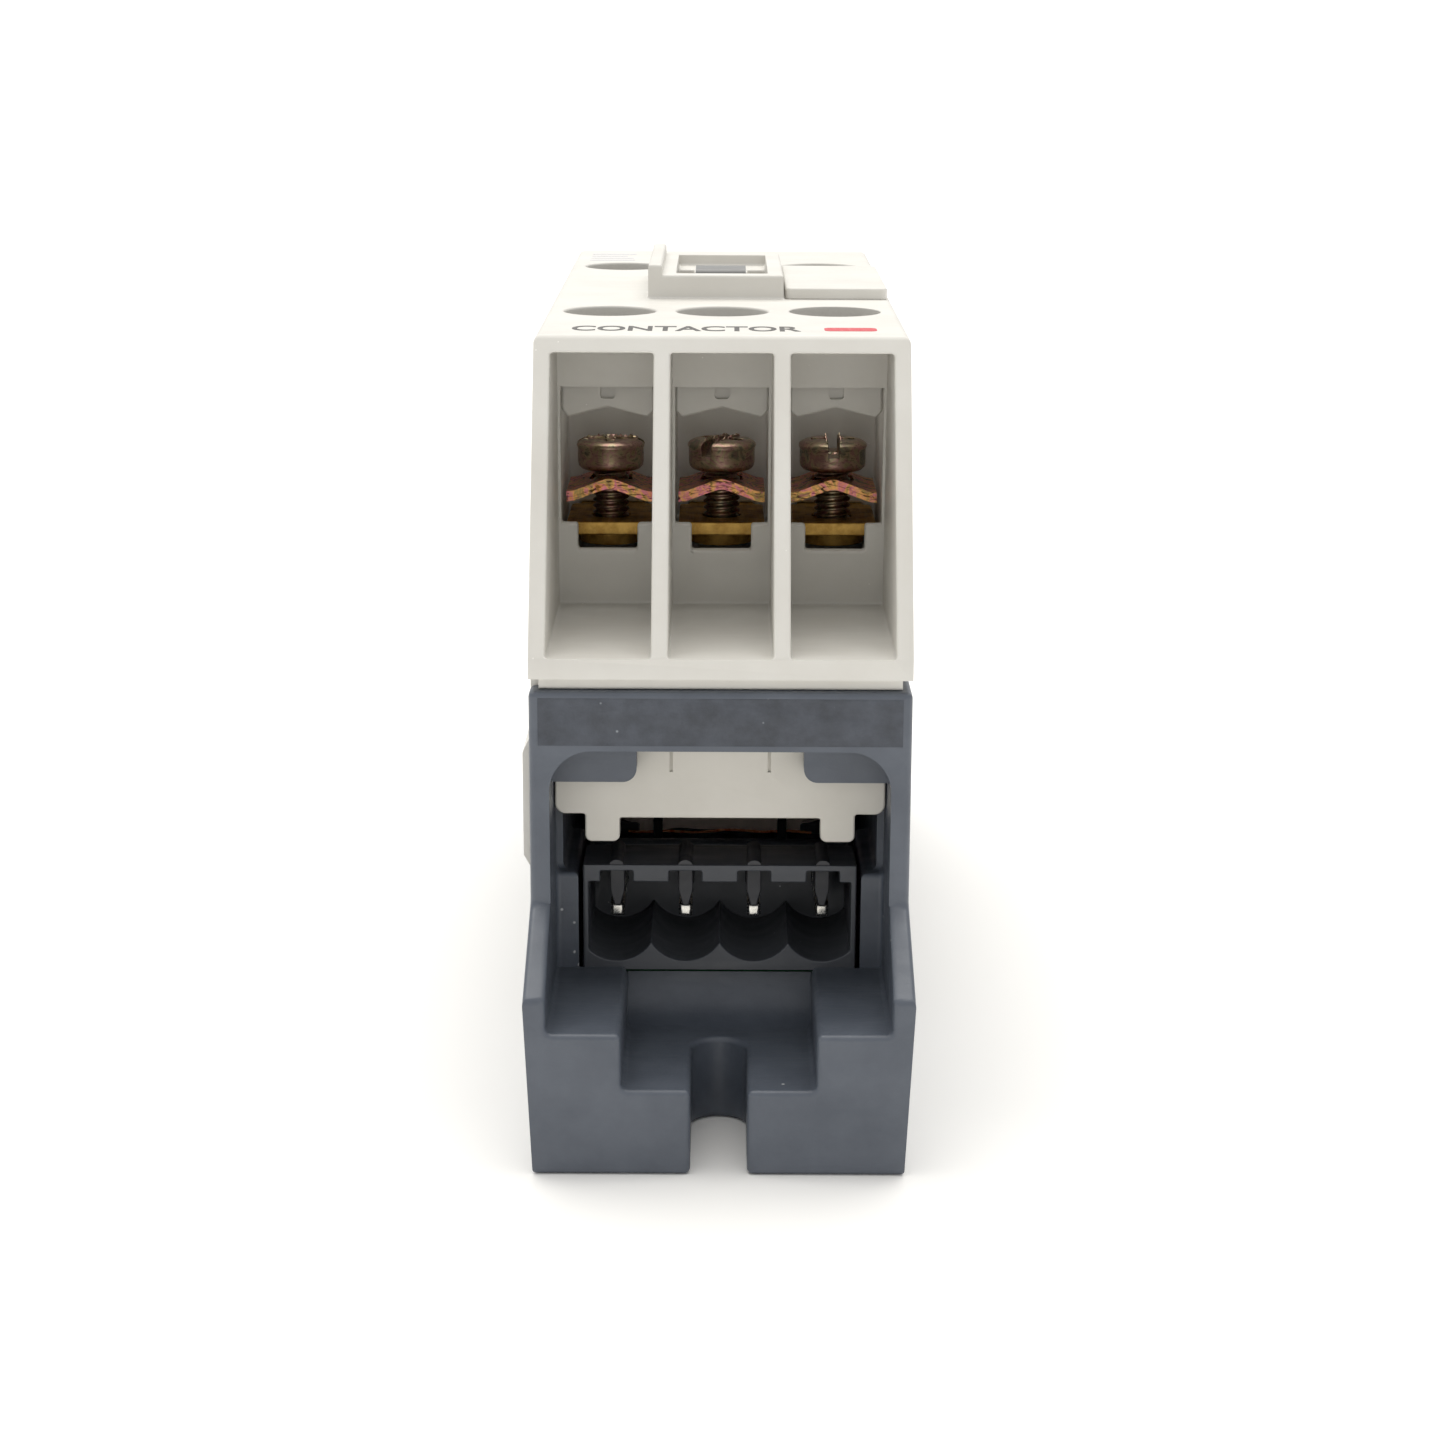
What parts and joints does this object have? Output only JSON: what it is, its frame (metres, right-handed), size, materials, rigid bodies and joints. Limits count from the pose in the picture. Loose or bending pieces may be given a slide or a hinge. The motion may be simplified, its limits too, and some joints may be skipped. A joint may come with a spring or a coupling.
{
  "type": "DIN-rail contactor",
  "caption": "Compact modular contactor: light grey terminal housing with screw clamps at both ends on a black base with a rail channel, screw slots and a coil connector.",
  "frame": {"origin": "middle of the bottom face, which lies against the rail or panel", "axes": "+X across the poles, +Y from the line end to the load end, +Z away from the rail"},
  "size_m": [0.0282, 0.1, 0.0597],
  "materials": {
    "black_base": "satin, lightly grained moulding",
    "grey_housing": "satin moulding",
    "grey_plate": "satin moulding",
    "connector_plastic": "satin moulding",
    "tinned_pin": "bright tin plating",
    "board": "solder resist",
    "component_black": "moulded epoxy",
    "bobbin_plastic": "glass-filled moulding",
    "copper_wire": "enamelled copper",
    "coil_tape": "polyester tape",
    "core_steel": "laminated, ground faces",
    "cushion_rubber": "moulded",
    "pin_steel": "ground",
    "carrier_plastic": "satin moulding",
    "contact_copper": "copper alloy strip",
    "strap_brass": "stamped strip",
    "silver_tip": "silver alloy",
    "spring_steel": "drawn wire",
    "zinc_yellow": "yellow passivated zinc on steel",
    "clip_plastic": "satin moulding"
  },
  "bodies": {
    "frame": {"base_housing": "black_base", "terminal_housing": "grey_housing", "marker_plate": "grey_housing", "coil_cover_plate": "grey_plate", "header_shroud": "connector_plastic", "header_pins": "tinned_pin", "coil_board": "board", "board_parts": "component_black", "coil_bobbin": "bobbin_plastic", "coil_winding": "copper_wire", "coil_tape": "coil_tape", "coil_leads": "copper_wire", "fixed_core": "core_steel", "core_cushion": "cushion_rubber", "fixed_tips": "silver_tip", "return_spring_line": "spring_steel", "return_spring_load": "spring_steel", "line_strap_1": "strap_brass", "load_strap_1": "strap_brass", "line_strap_2": "strap_brass", "load_strap_2": "strap_brass", "line_strap_3": "strap_brass", "load_strap_3": "strap_brass"},
    "carrier": {"contact_carrier": "carrier_plastic", "armature": "core_steel", "armature_pin": "pin_steel", "contact_spring_1": "spring_steel", "contact_spring_2": "spring_steel", "contact_spring_3": "spring_steel"},
    "rail_clip": {"din_clip": "clip_plastic"},
    "bridge_1": {"contact_bridge_1": "contact_copper", "bridge_tips_1": "silver_tip"},
    "line_clamp_1": {"line_saddle_1": "zinc_yellow"},
    "line_screw_body_1": {"line_screw_1": "zinc_yellow"},
    "load_clamp_1": {"load_saddle_1": "zinc_yellow"},
    "load_screw_body_1": {"load_screw_1": "zinc_yellow"},
    "bridge_2": {"contact_bridge_2": "contact_copper", "bridge_tips_2": "silver_tip"},
    "line_clamp_2": {"line_saddle_2": "zinc_yellow"},
    "line_screw_body_2": {"line_screw_2": "zinc_yellow"},
    "load_clamp_2": {"load_saddle_2": "zinc_yellow"},
    "load_screw_body_2": {"load_screw_2": "zinc_yellow"},
    "bridge_3": {"contact_bridge_3": "contact_copper", "bridge_tips_3": "silver_tip"},
    "line_clamp_3": {"line_saddle_3": "zinc_yellow"},
    "line_screw_body_3": {"line_screw_3": "zinc_yellow"},
    "load_clamp_3": {"load_saddle_3": "zinc_yellow"},
    "load_screw_body_3": {"load_screw_3": "zinc_yellow"}
  },
  "joints": [
    {"name": "carrier_slide", "type": "slide", "parent": "frame", "child": "carrier", "axis": [0, 0, -1], "range_m": [0, 0.0032], "stiffness_N_per_m": 420, "springref_m": -0.0012, "deforming": ["return_spring_line", "return_spring_load"]},
    {"name": "rail_clip_slide", "type": "slide", "parent": "frame", "child": "rail_clip", "axis": [0, 1, 0], "range_m": [0, 0.002], "stiffness_N_per_m": 900},
    {"name": "bridge_1_lift", "type": "slide", "parent": "carrier", "child": "bridge_1", "axis": [0, 0, 1], "range_m": [0, 0.0012], "stiffness_N_per_m": 300, "deforming": ["contact_spring_1"]},
    {"name": "line_clamp_1_lift", "type": "slide", "parent": "frame", "child": "line_clamp_1", "axis": [0, 0, 1], "range_m": [-0.0012, 0.002]},
    {"name": "line_screw_1_turn", "type": "hinge", "parent": "line_clamp_1", "child": "line_screw_body_1", "pos_m": [-0.0086, -0.0175, 0.046], "axis": [0, 0, 1], "range_deg": [-865, 1441]},
    {"name": "load_clamp_1_lift", "type": "slide", "parent": "frame", "child": "load_clamp_1", "axis": [0, 0, 1], "range_m": [-0.0012, 0.002]},
    {"name": "load_screw_1_turn", "type": "hinge", "parent": "load_clamp_1", "child": "load_screw_body_1", "pos_m": [-0.0086, 0.0175, 0.046], "axis": [0, 0, 1], "range_deg": [-865, 1441]},
    {"name": "bridge_2_lift", "type": "slide", "parent": "carrier", "child": "bridge_2", "axis": [0, 0, 1], "range_m": [0, 0.0012], "stiffness_N_per_m": 300, "deforming": ["contact_spring_2"]},
    {"name": "line_clamp_2_lift", "type": "slide", "parent": "frame", "child": "line_clamp_2", "axis": [0, 0, 1], "range_m": [-0.0012, 0.002]},
    {"name": "line_screw_2_turn", "type": "hinge", "parent": "line_clamp_2", "child": "line_screw_body_2", "pos_m": [0, -0.0175, 0.046], "axis": [0, 0, 1], "range_deg": [-865, 1441]},
    {"name": "load_clamp_2_lift", "type": "slide", "parent": "frame", "child": "load_clamp_2", "axis": [0, 0, 1], "range_m": [-0.0012, 0.002]},
    {"name": "load_screw_2_turn", "type": "hinge", "parent": "load_clamp_2", "child": "load_screw_body_2", "pos_m": [0, 0.0175, 0.046], "axis": [0, 0, 1], "range_deg": [-865, 1441]},
    {"name": "bridge_3_lift", "type": "slide", "parent": "carrier", "child": "bridge_3", "axis": [0, 0, 1], "range_m": [0, 0.0012], "stiffness_N_per_m": 300, "deforming": ["contact_spring_3"]},
    {"name": "line_clamp_3_lift", "type": "slide", "parent": "frame", "child": "line_clamp_3", "axis": [0, 0, 1], "range_m": [-0.0012, 0.002]},
    {"name": "line_screw_3_turn", "type": "hinge", "parent": "line_clamp_3", "child": "line_screw_body_3", "pos_m": [0.0086, -0.0175, 0.046], "axis": [0, 0, 1], "range_deg": [-865, 1441]},
    {"name": "load_clamp_3_lift", "type": "slide", "parent": "frame", "child": "load_clamp_3", "axis": [0, 0, 1], "range_m": [-0.0012, 0.002]},
    {"name": "load_screw_3_turn", "type": "hinge", "parent": "load_clamp_3", "child": "load_screw_body_3", "pos_m": [0.0086, 0.0175, 0.046], "axis": [0, 0, 1], "range_deg": [-865, 1441]}
  ],
  "couplings": [
    {"joint": "bridge_1_lift", "follows": "carrier_slide", "ratio": 0.375},
    {"joint": "line_screw_1_turn", "follows": "line_clamp_1_lift", "rad_per_m": 12566},
    {"joint": "load_screw_1_turn", "follows": "load_clamp_1_lift", "rad_per_m": 12566},
    {"joint": "bridge_2_lift", "follows": "carrier_slide", "ratio": 0.375},
    {"joint": "line_screw_2_turn", "follows": "line_clamp_2_lift", "rad_per_m": 12566},
    {"joint": "load_screw_2_turn", "follows": "load_clamp_2_lift", "rad_per_m": 12566},
    {"joint": "bridge_3_lift", "follows": "carrier_slide", "ratio": 0.375},
    {"joint": "line_screw_3_turn", "follows": "line_clamp_3_lift", "rad_per_m": 12566},
    {"joint": "load_screw_3_turn", "follows": "load_clamp_3_lift", "rad_per_m": 12566}
  ]
}
